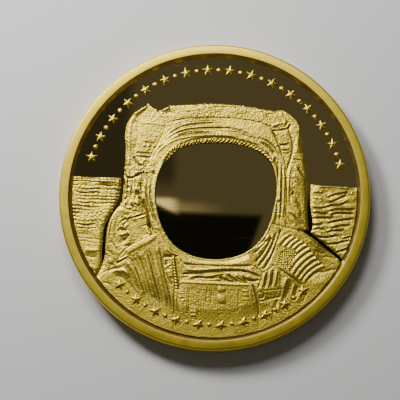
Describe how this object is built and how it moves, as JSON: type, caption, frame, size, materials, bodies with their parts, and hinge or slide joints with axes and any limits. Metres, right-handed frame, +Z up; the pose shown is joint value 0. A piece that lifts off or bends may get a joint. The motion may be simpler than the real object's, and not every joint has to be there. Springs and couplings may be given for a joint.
{
  "type": "commemorative medal",
  "caption": "Round struck medal with a plain edge, raised rims, mirror fields and a frosted relief of a spacesuited bust.",
  "frame": {"origin": "centre of the face that the medal rests on, its reverse", "axes": "+Z up through the obverse, +Y towards the top of the design, +X to the design's right"},
  "size_m": [0.04, 0.04, 0.003],
  "materials": {
    "mirror_gold": "polished gold plating, mirror bright, with a few hairlines",
    "rim_gold": "satin gold plating, lightly worn",
    "frosted_gold": "frosted gold plating with a fine sandblasted grain"
  },
  "bodies": {
    "root": {"blank": "mirror_gold", "rim_obverse": "rim_gold", "rim_reverse": "rim_gold", "visor": "mirror_gold", "hood": "frosted_gold", "pack_left": "frosted_gold", "pack_top": "frosted_gold", "pack_right": "frosted_gold", "harness_left": "frosted_gold", "sleeve_left": "frosted_gold", "shoulder_left": "frosted_gold", "collar": "frosted_gold", "folds_right": "frosted_gold", "neck_folds": "frosted_gold", "hose_fitting": "frosted_gold", "shoulder_right": "frosted_gold", "strap_right": "frosted_gold", "side_right": "frosted_gold", "chest_panel": "frosted_gold", "hose": "frosted_gold", "chest_buttons": "frosted_gold", "ground_left": "frosted_gold", "ground_right": "frosted_gold", "stars_upper": "frosted_gold", "beads_upper": "frosted_gold", "stars_lower": "frosted_gold", "beads_lower": "frosted_gold", "reverse_moon": "frosted_gold", "border_beads": "frosted_gold"}
  },
  "joints": []
}
